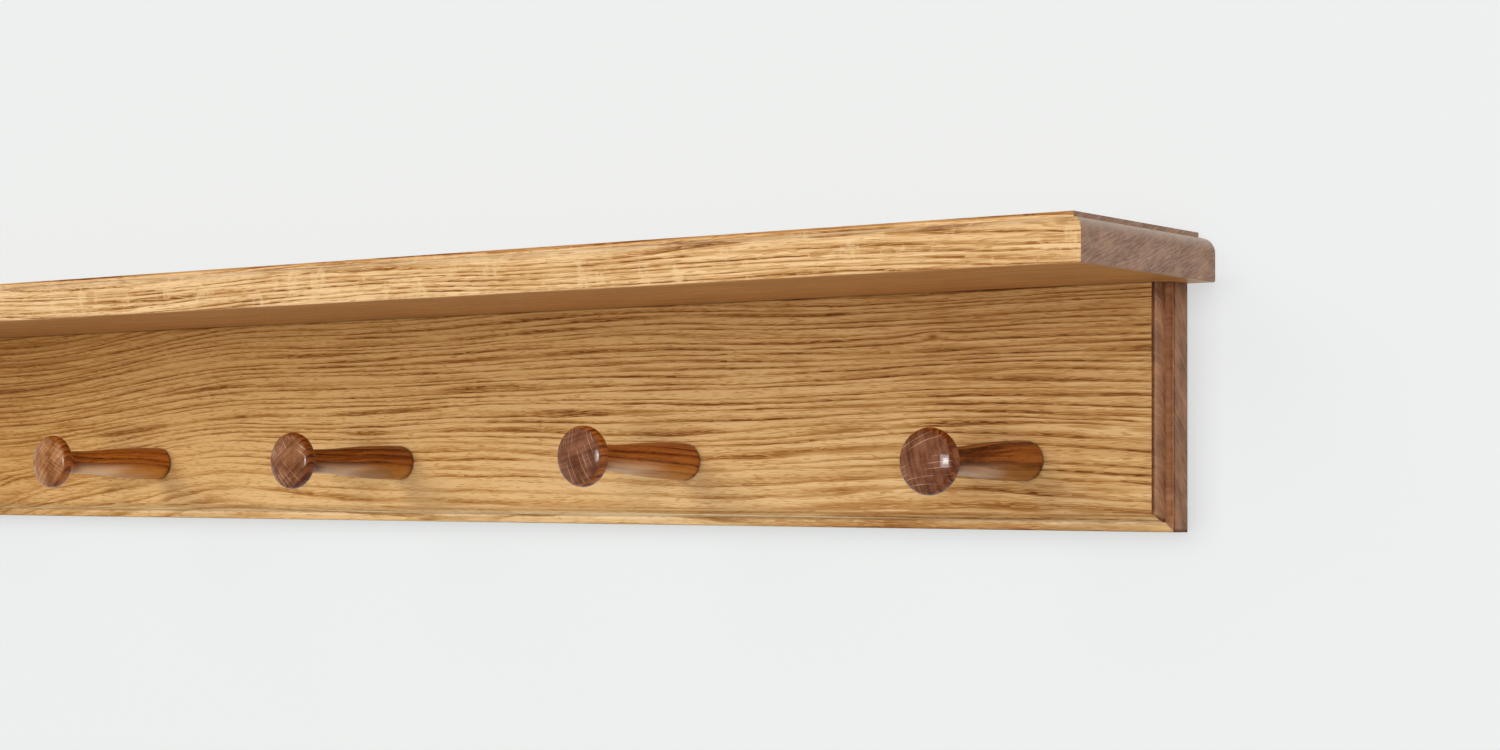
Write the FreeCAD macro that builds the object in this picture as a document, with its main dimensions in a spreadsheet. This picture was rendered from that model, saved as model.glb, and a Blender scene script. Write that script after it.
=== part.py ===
import FreeCAD, Part
import math
import os

import Sketcher
from FreeCAD import Placement, Rotation, Vector

# A wall-hung oak peg rail with a shelf on top, screwed together from behind.
# The origin is the middle of the rail board's back face, which lies on the wall.
# X runs along the rail, the room is towards -Y, and Z is up.

# Driving sizes. They are millimetres, but for the counts and the one angle in degrees.
SIZES = {
    # Rail board
    "rail_height": 95.5,
    "rail_thickness": 15.9,
    "end_margin": 62.0,
    # Shelf board
    "shelf_depth": 101.6,
    "shelf_thickness": 19.4,
    "shelf_overhang": 11.6,
    # Moulding round the rail: a shallow step, a quarter round, a short drop and a flat outer ledge
    "rail_step": 0.6,
    "rail_round": 3.3,
    "rail_drop": 0.9,
    "rail_ledge": 3.8,
    # Moulding round the shelf: a square step, a narrow ledge and a quarter round
    "moulding_step": 2.2,
    "moulding_ledge": 0.75,
    "moulding_radius": 6.35,
    # Rounding of the plain corners
    "arris_radius": 0.8,
    # Pegs, measured out from the rail's face along the peg
    "peg_count": 5,
    "peg_pitch": 170.8,
    "peg_rise": 27.3,
    "tenon_radius": 6.35,
    "tenon_setback": 0.5,
    "tenon_chamfer": 1.0,
    "shoulder_radius": 1.2,
    "shaft_radius": 7.95,
    "swell_length": 4.0,
    "neck_radius": 5.4,
    "neck_reach": 57.0,
    "knob_radius": 12.7,
    "knob_reach": 73.6,
    "crown_radius": 23.5,
    "rim_radius": 3.5,
    # Keyhole hanger plates, let in flush with the back of the rail
    "hanger_spacing": 406.4,
    "hanger_rise": 8.0,
    "plate_width": 16.0,
    "plate_length": 40.0,
    "plate_thickness": 2.0,
    "keyhole_radius": 4.8,
    "keyhole_slot_radius": 2.4,
    "keyhole_drop": 4.0,
    "keyhole_travel": 9.5,
    "head_room": 0.8,
    "head_room_cover": 6.9,
    # Countersunk screws that hold a hanger plate
    "plate_screw_spacing": 29.0,
    "plate_screw_head_radius": 3.0,
    "plate_screw_rim": 0.2,
    "plate_screw_radius": 1.5,
    "plate_screw_tip": 3.0,
    "plate_screw_cover": 3.9,
    # Pocket screws that hold the shelf, driven up from behind at a slant
    "shelf_screw_count": 4,
    "shelf_screw_pitch": 215.0,
    "shelf_screw_angle": 15.0,
    "shelf_screw_head_radius": 4.0,
    "shelf_screw_head_height": 2.6,
    "shelf_screw_radius": 2.0,
    "shelf_screw_tip": 4.0,
    "shelf_screw_cover": 6.8,
    "pocket_radius": 4.75,
    "pocket_seat": 12.0,
    # Play between what goes in and its hole, wood left clear past a screw's tip,
    # and how far a cutting outline runs past the wood
    "fit_clearance": 0.05,
    "plate_clearance": 0.15,
    "tip_clearance": 0.5,
    "overrun": 5.0,
}

# Where the shaft's swelling bend gives way to its hollow bend, from the rail's end of the taper
TAPER_TURN_SHARE = 0.66
# Cross recess of a screw's drive: arm and half width of the head's radius, depth of the head's height
DRIVE_ARM_SHARE = 0.55
DRIVE_WIDTH_SHARE = 0.12
DRIVE_DEPTH_SHARE = 0.6

FULL_TURN = 360.0
# Turns a piece about X so that its own Z points away from the wall
FACING_ROOM = "90"

# Sizes that follow from the driving ones
RAIL_LENGTH = "((Sizes.peg_count - 1) * Sizes.peg_pitch + 2 * Sizes.end_margin)"
RAIL_TOP = "(Sizes.rail_height / 2)"
SHELF_LENGTH = f"({RAIL_LENGTH} + 2 * Sizes.shelf_overhang)"
PEG_HEIGHT = f"(Sizes.peg_rise - {RAIL_TOP})"
TENON_LENGTH = "(Sizes.rail_thickness - Sizes.tenon_setback)"
PLATE_SCREW_LENGTH = "(Sizes.rail_thickness - Sizes.plate_screw_cover)"
SHELF_SCREW_BITE = "((Sizes.shelf_thickness - Sizes.shelf_screw_cover) / cos(Sizes.shelf_screw_angle * 1deg))"
SHELF_SCREW_LENGTH = f"(Sizes.shelf_screw_head_height + Sizes.pocket_seat + {SHELF_SCREW_BITE})"

document = FreeCAD.newDocument("PegRail")
sheet = document.addObject("Spreadsheet::Sheet", "Sizes")


def fill_sheet():
    """Write each driving size and its alias into the sheet."""
    for row, (name, value) in enumerate(SIZES.items(), start=1):
        sheet.set(f"A{row}", name)
        sheet.set(f"B{row}", str(value))
        sheet.setAlias(f"B{row}", name)
    document.recompute()


def number(expression):
    """The value that an expression of sizes has now."""
    value = sheet.evalExpression(expression)
    return float(getattr(value, "Value", value))


def add_body(name):
    """An empty piece; its name becomes its node's name."""
    body = document.addObject("PartDesign::Body", name)
    body.Label = name
    return body


def follow(item, placement, base, turn):
    """Make a placement follow expressions of sizes: three for its base and one for its angle in degrees."""
    for axis, part in zip("xyz", base):
        item.setExpression(f"{placement}.Base.{axis}", part)
    item.setExpression(f"{placement}.Rotation.Angle", turn)


def place(item, x, y, z, turn):
    """Stand a piece at x, y, z, turned about X by an angle in degrees."""
    base = Vector(number(x), number(y), number(z))
    item.Placement = Placement(base, Rotation(Vector(1, 0, 0), number(turn)))
    follow(item, "Placement", (x, y, z), turn)


def origin_plane(body, role):
    """One of a piece's own origin planes."""
    return next(feature for feature in body.Origin.OriginFeatures if feature.Role == role)


def add_sketch(body, role, name, shift=None, turn="0"):
    """A sketch on an origin plane, which may be shifted along and turned in that plane's own axes."""
    sketch = body.newObject("Sketcher::SketchObject", name)
    sketch.AttachmentSupport = [(origin_plane(body, role), "")]
    sketch.MapMode = "FlatFace"
    if shift:
        base = Vector(*[number(part) for part in shift])
        sketch.AttachmentOffset = Placement(base, Rotation(Vector(0, 0, 1), number(turn)))
        follow(sketch, "AttachmentOffset", shift, turn)
    return sketch


def bind(sketch, constraint, expression):
    """Add a constraint whose value follows an expression of sizes."""
    index = sketch.addConstraint(Sketcher.Constraint(*constraint, number(expression)))
    sketch.setExpression(f"Constraints[{index}]", expression)


def bind_point(sketch, edge, end, x, y):
    """Hold one point of an edge at x, y from the sketch's origin."""
    bind(sketch, ("DistanceX", -1, 1, edge, end), x)
    bind(sketch, ("DistanceY", -1, 1, edge, end), y)


def arc_between(start, end, radius, turn):
    """The short arc from start to end that turns left (1) or right (-1)."""
    chord = end - start
    reach = math.sqrt(max(radius**2 - (chord.Length / 2) ** 2, 0))
    side = Vector(-chord.y, chord.x, 0).normalize() * turn
    centre = start + chord / 2 + side * reach
    first, last = (start, end) if turn > 0 else (end, start)
    angles = [math.atan2(point.y - centre.y, point.x - centre.x) for point in (first, last)]
    return Part.ArcOfCircle(Part.Circle(centre, Vector(0, 0, 1), radius), *angles)


def draw_outline(sketch, corners):
    """Close an outline through corners given as (x, y).

    A corner given as (x, y, radius, turn) is reached along an arc, which turns left (1) or right (-1).
    """
    points = [Vector(number(corner[0]), number(corner[1]), 0) for corner in corners]
    ends = []
    for index, corner in enumerate(corners):
        start, end = points[index - 1], points[index]
        if len(corner) == 2:
            edge = sketch.addGeometry(Part.LineSegment(start, end), False)
            ends.append((edge, 1, 2))
            continue
        radius, turn = corner[2:]
        edge = sketch.addGeometry(arc_between(start, end, number(radius), turn), False)
        ends.append((edge, 1, 2) if turn > 0 else (edge, 2, 1))
        bind(sketch, ("Radius", edge), radius)
    for index, (edge, first, last) in enumerate(ends):
        before, _, before_last = ends[index - 1]
        sketch.addConstraint(Sketcher.Constraint("Coincident", before, before_last, edge, first))
        bind_point(sketch, edge, last, corners[index][0], corners[index][1])


def draw_circle(sketch, x, y, radius):
    """A circle about x, y."""
    circle = Part.Circle(Vector(number(x), number(y), 0), Vector(0, 0, 1), number(radius))
    edge = sketch.addGeometry(circle, False)
    bind_point(sketch, edge, 3, x, y)
    bind(sketch, ("Radius", edge), radius)


def draw_slot(sketch, x, low, high, radius):
    """An upright slot with round ends, whose end centres are at x, low and x, high."""
    draw_outline(
        sketch,
        [
            (f"{x} + {radius}", high),
            (x, f"{high} + {radius}", radius, 1),
            (f"{x} - {radius}", high, radius, 1),
            (f"{x} - {radius}", low),
            (x, f"{low} - {radius}", radius, 1),
            (f"{x} + {radius}", low, radius, 1),
        ],
    )


def add_pad(body, sketch, length):
    """Raise a sketch by a length along its normal."""
    pad = body.newObject("PartDesign::Pad", f"{sketch.Name}_pad")
    pad.Profile = sketch
    pad.setExpression("Length", length)
    return pad


def add_pocket(body, sketch, depth=None, both_ways=False):
    """Cut a sketch into the wood along its normal, by a depth or right through."""
    pocket = body.newObject("PartDesign::Pocket", f"{sketch.Name}_cut")
    pocket.Profile = sketch
    if both_ways:
        pocket.SideType = "Symmetric"
    else:
        pocket.Reversed = True
    if depth is None:
        pocket.Type = "ThroughAll"
    else:
        pocket.setExpression("Length", depth)
    return pocket


def add_turned(body, sketch, kind):
    """Turn a sketch a full circle about its own upright axis, as wood (Revolution) or as a cut (Groove)."""
    turned = body.newObject(f"PartDesign::{kind}", f"{sketch.Name}_turned")
    turned.Profile = sketch
    turned.ReferenceAxis = (sketch, ["V_Axis"])
    turned.Angle = FULL_TURN
    return turned


def repeat_in_line(body, features, sketch, axis, length, count):
    """Repeat features along a sketch's axis, over a length from the first to the last."""
    pattern = body.newObject("PartDesign::LinearPattern", f"{features[0].Name}_row")
    pattern.Originals = features
    pattern.Direction = (sketch, [axis])
    pattern.setExpression("Length", length)
    pattern.setExpression("Occurrences", count)
    body.Tip = pattern


def mirror(body, feature, role):
    """Repeat a feature on the far side of one of the piece's origin planes."""
    mirrored = body.newObject("PartDesign::Mirrored", f"{feature.Name}_mirrored")
    mirrored.Originals = [feature]
    mirrored.MirrorPlane = (origin_plane(body, role), [""])
    body.Tip = mirrored


def draw_edge_cut(sketch, corner, away, face, profile):
    """Outline of what an edge profile takes off a board's corner.

    away points out over the edge and face points up out of the face. The profile's points are given as
    (out, up) from the corner, and the last one lies on the edge. A point given as (out, up, radius) is
    reached along a round.
    """
    turn = away[1] * face[0] - away[0] * face[1]
    beyond = "Sizes.overrun"
    outline = [(profile[0][0], beyond), *profile, (beyond, profile[-1][1]), (beyond, beyond)]
    corners = []
    for out, up, *radius in outline:
        point = [
            f"{corner[axis]} + {away[axis]} * ({out}) + {face[axis]} * ({up})" for axis in range(2)
        ]
        corners.append((*point, *radius, turn) if radius else tuple(point))
    draw_outline(sketch, corners)


def draw_shelf_moulding(sketch, corner, away, face):
    """The shelf's moulding: a square step down from the face, a narrow ledge and a quarter round."""
    radius = "Sizes.moulding_radius"
    inset = f"-(Sizes.moulding_ledge + {radius})"
    ledge = "-Sizes.moulding_step"
    profile = [(inset, ledge), (f"-{radius}", ledge), ("0", f"{ledge} - {radius}", radius)]
    draw_edge_cut(sketch, corner, away, face, profile)


def draw_rail_moulding(sketch, corner, away, face):
    """The rail's moulding: a step, a quarter round, a drop and a flat ledge out to an eased corner."""
    step = "-Sizes.rail_step"
    radius = "Sizes.rail_round"
    ledge = f"({step} - {radius} - Sizes.rail_drop)"
    arris = "Sizes.arris_radius"
    profile = [
        (f"-(Sizes.rail_ledge + {radius})", step),
        ("-Sizes.rail_ledge", f"{step} - {radius}", radius),
        ("-Sizes.rail_ledge", ledge),
        (f"-{arris}", ledge),
        ("0", f"{ledge} - {arris}", arris),
    ]
    draw_edge_cut(sketch, corner, away, face, profile)


def draw_arris(sketch, corner, away, face):
    """A sharp corner eased to a small round."""
    radius = "Sizes.arris_radius"
    draw_edge_cut(sketch, corner, away, face, [(f"-{radius}", "0"), ("0", f"-{radius}", radius)])


def add_slanted_bore(body, name, axis_height, stations):
    """Bore a row of slanted screw holes, whose axes cross the joint of rail and shelf in mid rail.

    axis_height is the joint's height in the piece's own frame. Each station is (low, high, radius), with
    low and high measured along the axis, upward from the joint.
    """
    first = "-(Sizes.shelf_screw_count - 1) / 2 * Sizes.shelf_screw_pitch"
    shift = ("-Sizes.rail_thickness / 2", axis_height, first)
    sketch = add_sketch(body, "YZ_Plane", name, shift, "Sizes.shelf_screw_angle")
    corners = [("0", stations[0][0])]
    for low, high, radius in stations:
        corners += [(radius, low), (radius, high)]
    corners.append(("0", stations[-1][1]))
    draw_outline(sketch, corners)
    bore = add_turned(body, sketch, "Groove")
    row_length = "(Sizes.shelf_screw_count - 1) * Sizes.shelf_screw_pitch"
    repeat_in_line(body, [bore], sketch, "N_Axis", row_length, "Sizes.shelf_screw_count")


def cut_hanger_seats(body):
    """Let the two hanger plates into the rail's back, with room behind each for a screw's head."""
    x = "(-Sizes.hanger_spacing / 2)"
    half_plate = "(Sizes.plate_length - Sizes.plate_width) / 2"
    seat = add_sketch(body, "XZ_Plane", "plate_seat")
    seat_radius = "(Sizes.plate_width / 2 + Sizes.plate_clearance)"
    low = f"(Sizes.hanger_rise - {half_plate})"
    high = f"(Sizes.hanger_rise + {half_plate})"
    draw_slot(seat, x, low, high, seat_radius)
    seat_cut = add_pocket(body, seat, "Sizes.plate_thickness")

    room = add_sketch(body, "XZ_Plane", "screw_head_room")
    entry = "(Sizes.hanger_rise - Sizes.keyhole_drop)"
    room_radius = "(Sizes.keyhole_radius + Sizes.head_room)"
    draw_slot(room, x, entry, f"({entry} + Sizes.keyhole_travel)", room_radius)
    room_cut = add_pocket(body, room, "Sizes.rail_thickness - Sizes.head_room_cover")

    pilots = add_sketch(body, "XZ_Plane", "plate_screw_pilots")
    pilot_radius = "Sizes.plate_screw_radius + Sizes.fit_clearance"
    for side in ("-", "+"):
        height = f"Sizes.hanger_rise {side} Sizes.plate_screw_spacing / 2"
        draw_circle(pilots, x, height, pilot_radius)
    pilot_cut = add_pocket(body, pilots, f"{PLATE_SCREW_LENGTH} + Sizes.tip_clearance")
    repeat_in_line(body, [seat_cut, room_cut, pilot_cut], seat, "H_Axis", "Sizes.hanger_spacing", "2")


def make_rail():
    """The back board: moulded along its bottom and ends, bored for the pegs, cut for screws and hangers."""
    body = add_body("rail_board")
    half = f"({RAIL_LENGTH} / 2)"
    front = "-Sizes.rail_thickness"
    face = add_sketch(body, "XZ_Plane", "rail_face")
    draw_outline(
        face, [(f"-{half}", f"-{RAIL_TOP}"), (half, f"-{RAIL_TOP}"), (half, RAIL_TOP), (f"-{half}", RAIL_TOP)]
    )
    add_pad(body, face, "Sizes.rail_thickness")

    bottom = add_sketch(body, "YZ_Plane", "rail_bottom_edge")
    draw_rail_moulding(bottom, (front, f"-{RAIL_TOP}"), (0, -1), (-1, 0))
    draw_arris(bottom, ("0", f"-{RAIL_TOP}"), (0, -1), (1, 0))
    add_pocket(body, bottom, f"{RAIL_LENGTH} + 2 * Sizes.overrun", both_ways=True)

    end = add_sketch(body, "XY_Plane", "rail_end_edge")
    draw_rail_moulding(end, (half, front), (1, 0), (0, -1))
    draw_arris(end, (half, "0"), (1, 0), (0, 1))
    end_cut = add_pocket(body, end, "Sizes.rail_height + 2 * Sizes.overrun", both_ways=True)
    mirror(body, end_cut, "YZ_Plane")

    bore = add_sketch(body, "XZ_Plane", "peg_bore")
    row_length = "((Sizes.peg_count - 1) * Sizes.peg_pitch)"
    draw_circle(bore, f"-{row_length} / 2", PEG_HEIGHT, "Sizes.tenon_radius + Sizes.fit_clearance")
    repeat_in_line(body, [add_pocket(body, bore)], bore, "H_Axis", row_length, "Sizes.peg_count")

    cut_hanger_seats(body)
    seat = "-Sizes.pocket_seat"
    mouth = "-(Sizes.rail_thickness / 2 + Sizes.pocket_radius) / tan(Sizes.shelf_screw_angle * 1deg)"
    screw_radius = "Sizes.shelf_screw_radius + Sizes.fit_clearance"
    stations = [
        (f"2 * ({mouth}) - Sizes.overrun", seat, "Sizes.pocket_radius"),
        (seat, "Sizes.overrun", screw_radius),
    ]
    add_slanted_bore(body, "shelf_screw_pocket", RAIL_TOP, stations)
    place(body, "0", "0", "0", "0")
    return body


def make_shelf():
    """The shelf board: its top edge is moulded along the front and both ends."""
    body = add_body("shelf_board")
    half = f"({SHELF_LENGTH} / 2)"
    front = "-Sizes.shelf_depth"
    top = "Sizes.shelf_thickness"
    outline = add_sketch(body, "XY_Plane", "shelf_outline")
    draw_outline(outline, [(f"-{half}", front), (half, front), (half, "0"), (f"-{half}", "0")])
    add_pad(body, outline, "Sizes.shelf_thickness")

    front_edge = add_sketch(body, "YZ_Plane", "shelf_front_edge")
    draw_shelf_moulding(front_edge, (front, top), (-1, 0), (0, 1))
    draw_arris(front_edge, (front, "0"), (-1, 0), (0, -1))
    add_pocket(body, front_edge, f"{SHELF_LENGTH} + 2 * Sizes.overrun", both_ways=True)

    end_edge = add_sketch(body, "XZ_Plane", "shelf_end_edge")
    draw_shelf_moulding(end_edge, (half, top), (1, 0), (0, 1))
    draw_arris(end_edge, (half, "0"), (1, 0), (0, -1))
    end_cut = add_pocket(body, end_edge, "2 * (Sizes.shelf_depth + Sizes.overrun)", both_ways=True)
    mirror(body, end_cut, "YZ_Plane")

    screw_radius = "Sizes.shelf_screw_radius + Sizes.fit_clearance"
    depth = f"{SHELF_SCREW_BITE} + Sizes.tip_clearance"
    add_slanted_bore(body, "shelf_screw_pilot", "0", [("-Sizes.overrun", depth, screw_radius)])
    place(body, "0", "0", RAIL_TOP, "0")
    return body


def draw_peg(sketch):
    """Half section of a turned peg: x is the radius and y runs from the rail's face to the knob.

    The shaft leaves the rail straight, bends in, bends back and is parallel again at the neck. Its two arcs
    meet on the straight line between the ends of the taper. The knob is a cove, a rim and a crown, whose
    arcs run smoothly into one another.
    """
    run = "(Sizes.neck_reach - Sizes.swell_length)"
    drop = "(Sizes.shaft_radius - Sizes.neck_radius)"
    bend = f"(({run} ^ 2 + {drop} ^ 2) / (2 * {drop}))"
    rim = "Sizes.rim_radius"
    crown = "Sizes.crown_radius"
    rim_out = f"(Sizes.knob_radius - {rim})"
    rim_rise = f"sqrt(({crown} - {rim}) ^ 2 - {rim_out} ^ 2)"
    rim_at = f"(Sizes.knob_reach - {crown} + {rim_rise})"
    crown_share = f"({crown} / ({crown} - {rim}))"
    cove_out = f"({rim_out} - Sizes.neck_radius)"
    cove_run = f"({rim_at} - Sizes.neck_reach)"
    cove = f"(({cove_out} ^ 2 + {cove_run} ^ 2 - {rim} ^ 2) / (2 * ({cove_out} + {rim})))"
    cove_share = f"({rim} / ({cove} + {rim}))"
    draw_outline(
        sketch,
        [
            ("0", f"-{TENON_LENGTH}"),
            ("Sizes.tenon_radius - Sizes.tenon_chamfer", f"-{TENON_LENGTH}"),
            ("Sizes.tenon_radius", f"-{TENON_LENGTH} + Sizes.tenon_chamfer"),
            ("Sizes.tenon_radius", "0"),
            ("Sizes.shaft_radius - Sizes.shoulder_radius", "0"),
            ("Sizes.shaft_radius", "Sizes.shoulder_radius", "Sizes.shoulder_radius", 1),
            ("Sizes.shaft_radius", "Sizes.swell_length"),
            (
                f"Sizes.shaft_radius - {TAPER_TURN_SHARE} * {drop}",
                f"Sizes.swell_length + {TAPER_TURN_SHARE} * {run}",
                f"{TAPER_TURN_SHARE} * {bend}",
                1,
            ),
            ("Sizes.neck_radius", "Sizes.neck_reach", f"(1 - {TAPER_TURN_SHARE}) * {bend}", -1),
            (
                f"{rim_out} + {cove_share} * ({cove} - {cove_out})",
                f"{rim_at} - {cove_share} * {cove_run}",
                cove,
                -1,
            ),
            ("Sizes.knob_radius", rim_at, rim, 1),
            (f"{crown_share} * {rim_out}", f"{rim_at} + ({crown_share} - 1) * {rim_rise}", rim, 1),
            ("0", "Sizes.knob_reach", crown, 1),
        ],
    )


def make_peg(index):
    """One turned peg, its tenon in the rail and its knob towards the room."""
    body = add_body(f"peg_{index + 1}")
    sketch = add_sketch(body, "XZ_Plane", f"peg_section_{index + 1}")
    draw_peg(sketch)
    add_turned(body, sketch, "Revolution")
    x = f"({index} - (Sizes.peg_count - 1) / 2) * Sizes.peg_pitch"
    place(body, x, "-Sizes.rail_thickness", PEG_HEIGHT, FACING_ROOM)
    return body


def make_hanger_plate(side, sign):
    """A steel plate with a keyhole that drops over a wall screw, and a countersunk hole at each end."""
    body = add_body(f"hanger_plate_{side}")
    outline = add_sketch(body, "XY_Plane", f"plate_outline_{side}")
    half = "((Sizes.plate_length - Sizes.plate_width) / 2)"
    draw_slot(outline, "0", f"-{half}", half, "(Sizes.plate_width / 2)")
    add_pad(body, outline, "Sizes.plate_thickness")

    entry = add_sketch(body, "XY_Plane", f"keyhole_entry_{side}")
    draw_circle(entry, "0", "-Sizes.keyhole_drop", "Sizes.keyhole_radius")
    add_pocket(body, entry)
    slot = add_sketch(body, "XY_Plane", f"keyhole_slot_{side}")
    slot_top = "(Sizes.keyhole_travel - Sizes.keyhole_drop)"
    draw_slot(slot, "0", "-Sizes.keyhole_drop", slot_top, "Sizes.keyhole_slot_radius")
    add_pocket(body, slot)

    shift = ("Sizes.plate_screw_spacing / 2", "0", "0")
    hole = add_sketch(body, "YZ_Plane", f"plate_screw_hole_{side}", shift)
    head_radius = "(Sizes.plate_screw_head_radius + Sizes.fit_clearance)"
    screw_radius = "(Sizes.plate_screw_radius + Sizes.fit_clearance)"
    far_side = "Sizes.plate_thickness + Sizes.overrun"
    corners = [
        ("0", "-Sizes.overrun"),
        (head_radius, "-Sizes.overrun"),
        (head_radius, "Sizes.plate_screw_rim"),
        (screw_radius, f"Sizes.plate_screw_rim + {head_radius} - {screw_radius}"),
        (screw_radius, far_side),
        ("0", far_side),
    ]
    draw_outline(hole, corners)
    mirror(body, add_turned(body, hole, "Groove"), "XZ_Plane")
    place(body, f"{sign}Sizes.hanger_spacing / 2", "0", "Sizes.hanger_rise", FACING_ROOM)
    return body


def make_screw(name, head_radius, rim, under_head, radius, length, tip):
    """A wood screw with a cross recess; its Z runs from the top of the head to the tip.

    The head is a disc down to rim, and from there narrows to the shank at under_head.
    """
    body = add_body(name)
    section = add_sketch(body, "XZ_Plane", f"{name}_section")
    corners = [
        ("0", "0"),
        (head_radius, "0"),
        (head_radius, rim),
        (radius, under_head),
        (radius, f"{length} - {tip}"),
        ("0", length),
    ]
    draw_outline(section, corners)
    add_turned(body, section, "Revolution")

    arm = f"{DRIVE_ARM_SHARE} * {head_radius}"
    width = f"{DRIVE_WIDTH_SHARE} * {head_radius}"
    quarter = [(width, width), (width, arm), (f"-{width}", arm)]
    cross = []
    for _ in range(4):
        cross += quarter
        quarter = [(f"-({y})", x) for x, y in quarter]
    drive = add_sketch(body, "XY_Plane", f"{name}_drive")
    draw_outline(drive, cross)
    add_pocket(body, drive, f"{DRIVE_DEPTH_SHARE} * {under_head}")
    return body


def group(name, screws):
    """Hold alike screws together as one piece of several solids."""
    compound = document.addObject("Part::Compound", name)
    compound.Label = name
    compound.Links = screws
    return compound


def make_plate_screws():
    """The four countersunk screws that hold the hanger plates."""
    taper = "(Sizes.plate_screw_head_radius - Sizes.plate_screw_radius)"
    screws = []
    for side in ("-", "+"):
        for end in ("-", "+"):
            screw = make_screw(
                f"plate_screw_{len(screws) + 1}",
                "Sizes.plate_screw_head_radius",
                "Sizes.plate_screw_rim",
                f"(Sizes.plate_screw_rim + {taper})",
                "Sizes.plate_screw_radius",
                PLATE_SCREW_LENGTH,
                "Sizes.plate_screw_tip",
            )
            height = f"Sizes.hanger_rise {end} Sizes.plate_screw_spacing / 2"
            place(screw, f"{side}Sizes.hanger_spacing / 2", "0", height, FACING_ROOM)
            screws.append(screw)
    return group("hanger_screws", screws)


def make_shelf_screws():
    """The slanted pocket screws that pull the shelf down on the rail."""
    angle = "(Sizes.shelf_screw_angle * 1deg)"
    top_of_head = "(Sizes.pocket_seat + Sizes.shelf_screw_head_height)"
    screws = []
    for index in range(SIZES["shelf_screw_count"]):
        screw = make_screw(
            f"shelf_screw_{index + 1}",
            "Sizes.shelf_screw_head_radius",
            "Sizes.shelf_screw_head_height",
            "Sizes.shelf_screw_head_height",
            "Sizes.shelf_screw_radius",
            SHELF_SCREW_LENGTH,
            "Sizes.shelf_screw_tip",
        )
        x = f"({index} - (Sizes.shelf_screw_count - 1) / 2) * Sizes.shelf_screw_pitch"
        y = f"-Sizes.rail_thickness / 2 + {top_of_head} * sin{angle}"
        z = f"{RAIL_TOP} - {top_of_head} * cos{angle}"
        place(screw, x, y, z, "Sizes.shelf_screw_angle")
        screws.append(screw)
    return group("shelf_screws", screws)


def check_model(pieces):
    """Stop if any feature failed, any cut removed nothing or any piece is not sound."""
    document.recompute()
    for item in document.Objects:
        if "Invalid" in item.State or "Error" in item.State:
            raise RuntimeError(f"{item.Label} failed: {item.State}")
        if item.isDerivedFrom("PartDesign::FeatureSubtractive"):
            if item.Shape.Volume >= item.BaseFeature.Shape.Volume:
                raise RuntimeError(f"{item.Label} cut nothing")
    for piece, solids in pieces:
        shape = piece.Shape
        if shape.isNull() or not shape.isValid():
            raise RuntimeError(f"{piece.Label} is not a sound shape")
        if len(shape.Solids) != solids:
            raise RuntimeError(f"{piece.Label} has {len(shape.Solids)} solids and should have {solids}")


def main():
    """Build every piece, check it and write its file."""
    fill_sheet()
    pieces = [(make_rail(), 1), (make_shelf(), 1)]
    pieces += [(make_peg(index), 1) for index in range(SIZES["peg_count"])]
    pieces += [(make_hanger_plate(side, sign), 1) for side, sign in (("left", "-"), ("right", "+"))]
    pieces.append((make_plate_screws(), 4))
    pieces.append((make_shelf_screws(), SIZES["shelf_screw_count"]))
    check_model(pieces)
    os.makedirs("parts", exist_ok=True)
    for piece, _ in pieces:
        piece.Shape.exportStep(f"parts/{piece.Label}.step")
        box = piece.Shape.optimalBoundingBox(False, False)
        print(f"{piece.Label}: {box.XLength:.1f} x {box.YLength:.1f} x {box.ZLength:.1f} mm")


main()
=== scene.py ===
"""Dresses the oak peg rail with shelf: turned pegs, oak and steel finishes, and the stage round it."""

import math

import bpy
import numpy as np
from mathutils import Matrix, Vector


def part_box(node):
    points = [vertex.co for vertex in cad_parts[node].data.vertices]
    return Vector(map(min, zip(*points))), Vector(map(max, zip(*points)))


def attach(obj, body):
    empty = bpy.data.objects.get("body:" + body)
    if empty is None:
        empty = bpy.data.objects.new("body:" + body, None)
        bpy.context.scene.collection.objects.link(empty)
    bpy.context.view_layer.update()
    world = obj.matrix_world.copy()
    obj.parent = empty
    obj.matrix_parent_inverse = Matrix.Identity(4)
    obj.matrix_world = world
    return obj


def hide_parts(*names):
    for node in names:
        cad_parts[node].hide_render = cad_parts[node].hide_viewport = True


bl_info = {
    "name": "Shaker peg rail",
    "version": (1, 0, 0),
    "blender": (4, 5, 0),
    "location": "3D View > Sidebar > Peg rail",
    "description": "Turns the pegs and finishes the boards of a shaker peg rail with shelf",
    "category": "Object",
}

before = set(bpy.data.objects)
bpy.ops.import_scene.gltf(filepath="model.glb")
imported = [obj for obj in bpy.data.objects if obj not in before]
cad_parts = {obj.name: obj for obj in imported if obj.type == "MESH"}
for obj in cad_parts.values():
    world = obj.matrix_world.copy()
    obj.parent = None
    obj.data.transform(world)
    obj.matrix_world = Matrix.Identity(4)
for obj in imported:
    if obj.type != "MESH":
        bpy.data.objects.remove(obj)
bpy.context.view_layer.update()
BODY = "root"
MM = 0.001
PEGS = sorted(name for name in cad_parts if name.startswith("peg_"))
# How far past the mitre of the rail's ends the painted shade line at the step fades and the ledge darkens at
# its rim, in millimetres
END_STEP_SHADE = (1.7, 0.5)
LEDGE_RIM = (4.6, 6.2)
# Where a peg's look changes, in millimetres: its knob's rim darkened as painted shade, across and out from
# the rail, its foot with a painted contact shadow, its lower side down and out, the painted reflection on it,
# and where the shaft's thinner lacquer ends
RIM_ACROSS = (10.6, 12.4)
RIM_OUT = (60.0, 64.0)
FOOT = (2.6, 0.4)
BELLY_DOWN = (0.5, -5.5)
BELLY_OUT = ((1.0, 5.0), (61.0, 50.0))
SHEEN_OUT = (10.0, 32.0)
THIN_COAT = (66.0, 60.0)
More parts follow.
